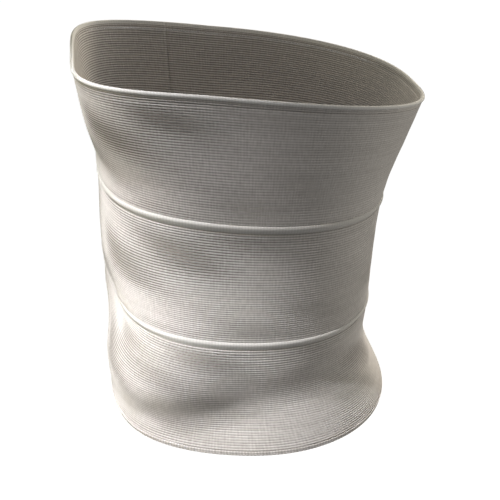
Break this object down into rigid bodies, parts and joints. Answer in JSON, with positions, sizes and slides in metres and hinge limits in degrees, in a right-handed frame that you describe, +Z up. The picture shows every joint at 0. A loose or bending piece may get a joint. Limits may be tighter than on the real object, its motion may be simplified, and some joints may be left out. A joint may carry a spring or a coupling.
{
  "type": "abdominal binder",
  "caption": "Wrap-round elastic abdominal binder in worn form, with ribbed horizontal bands, rounded welts between them, a rolled top edge and a plush side closure.",
  "frame": {"origin": "middle of the waist at the height of the lower welt, where the binder sits on the wearer", "axes": "+Z up the body, -Y the way the wearer faces, +X towards the wearer's left"},
  "size_m": [0.2846, 0.2315, 0.2327],
  "materials": {
    "ribbed_elastic": "white ribbed knit elastic, matt",
    "covering_stitch": "smooth white welt of covering yarn",
    "rolled_selvedge": "smooth white rolled edge",
    "plain_selvedge": "white plain woven edge, matt",
    "plush_pile": "white brushed loop pile, matt"
  },
  "bodies": {
    "root": {"top_rim": "rolled_selvedge", "upper_band": "ribbed_elastic", "upper_welt": "covering_stitch", "middle_band": "ribbed_elastic", "lower_welt": "covering_stitch", "lower_band": "ribbed_elastic", "bottom_hem": "plain_selvedge", "closure_panel": "plush_pile"}
  },
  "joints": []
}
